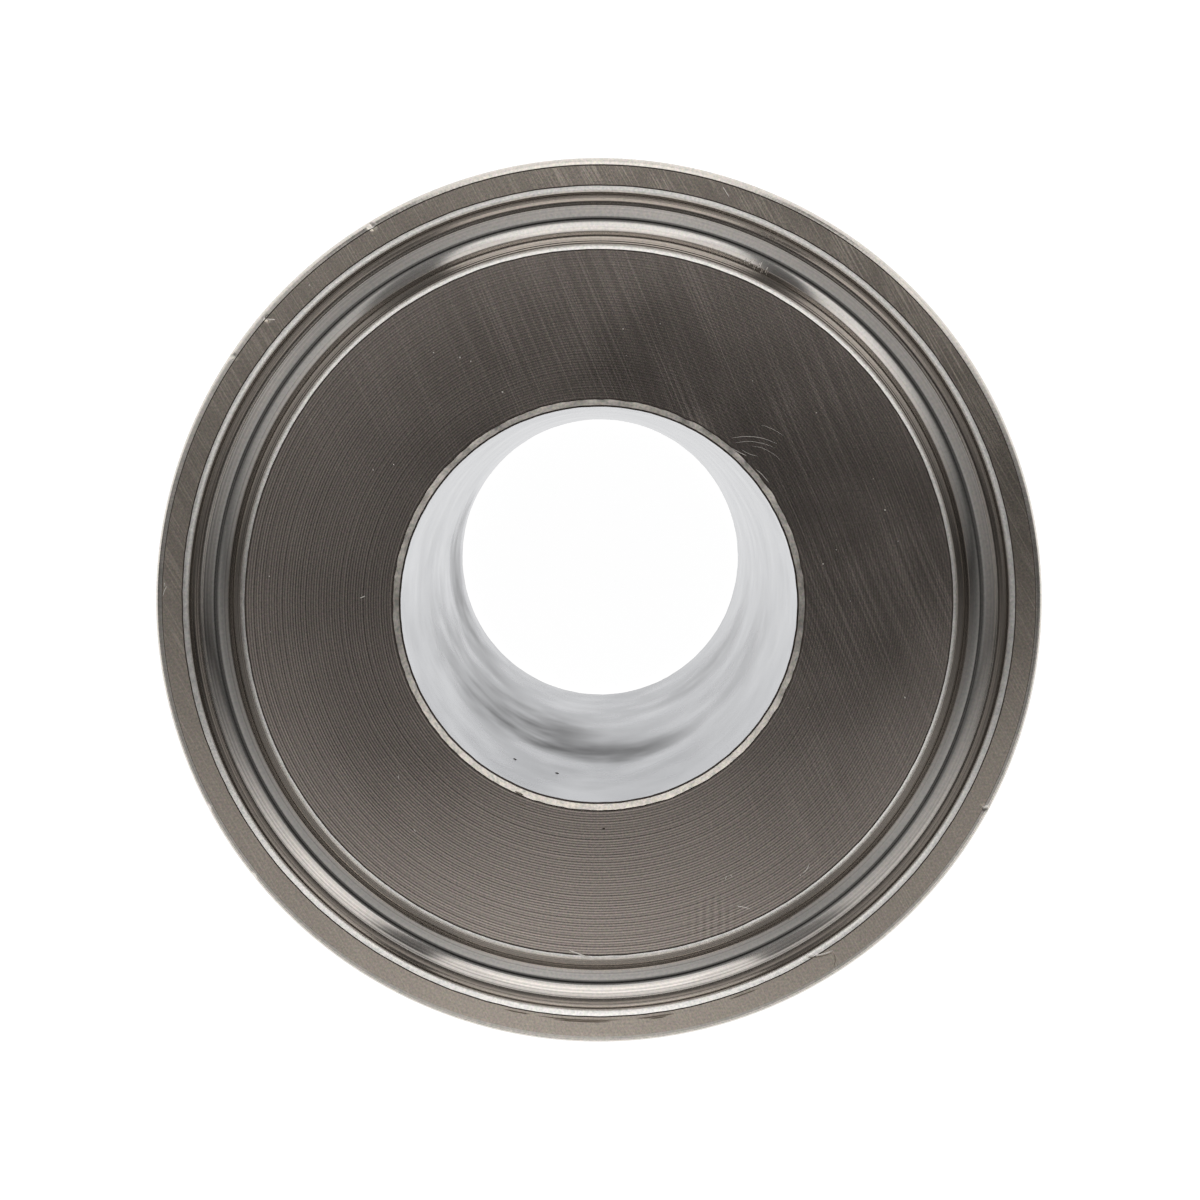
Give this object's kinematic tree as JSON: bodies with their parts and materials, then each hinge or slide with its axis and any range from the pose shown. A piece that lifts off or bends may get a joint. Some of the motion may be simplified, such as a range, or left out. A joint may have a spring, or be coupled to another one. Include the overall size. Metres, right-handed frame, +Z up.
{
  "type": "sanitary spool",
  "caption": "Short stainless tube with a hygienic clamp flange on each end; each flange has a gasket groove, a flat sealing face and a coned back.",
  "frame": {"origin": "the middle of the lower flange's land, where the spool stands", "axes": "+Z up along the bore, from the lower flange to the upper one; X and Y are any two directions square to it"},
  "size_m": [0.0505, 0.0504, 0.0572],
  "materials": {
    "satin_stainless": "stainless steel, turned and rubbed with fine emery on the faces, polished in the bore"
  },
  "bodies": {
    "root": {"sanitary_spool": "satin_stainless"}
  },
  "joints": []
}
